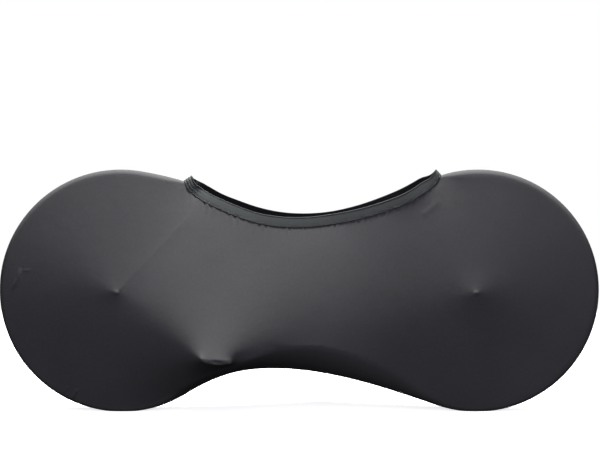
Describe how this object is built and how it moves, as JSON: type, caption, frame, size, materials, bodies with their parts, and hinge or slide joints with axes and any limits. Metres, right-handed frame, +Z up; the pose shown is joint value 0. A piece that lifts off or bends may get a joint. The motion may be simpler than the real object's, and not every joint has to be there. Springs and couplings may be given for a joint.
{
  "type": "stretch bicycle cover",
  "caption": "Stretch cloth cover pulled over both wheels and pedals of a bicycle, open at the top, with an elastic band round its mouth.",
  "frame": {"origin": "on the floor under the middle plane, midway between the two covered wheels", "axes": "+X towards the front wheel, +Y to the side whose pedal is up, +Z up"},
  "size_m": [1.6668, 0.31, 0.6766],
  "materials": {
    "stretch_cloth": "matt charcoal stretch knit with a faint sheen",
    "elastic_webbing": "dark ribbed elastic, slightly glossier than the cloth"
  },
  "bodies": {
    "root": {"near_side_panel": "stretch_cloth", "far_side_panel": "stretch_cloth", "elastic_band": "elastic_webbing"}
  },
  "joints": []
}
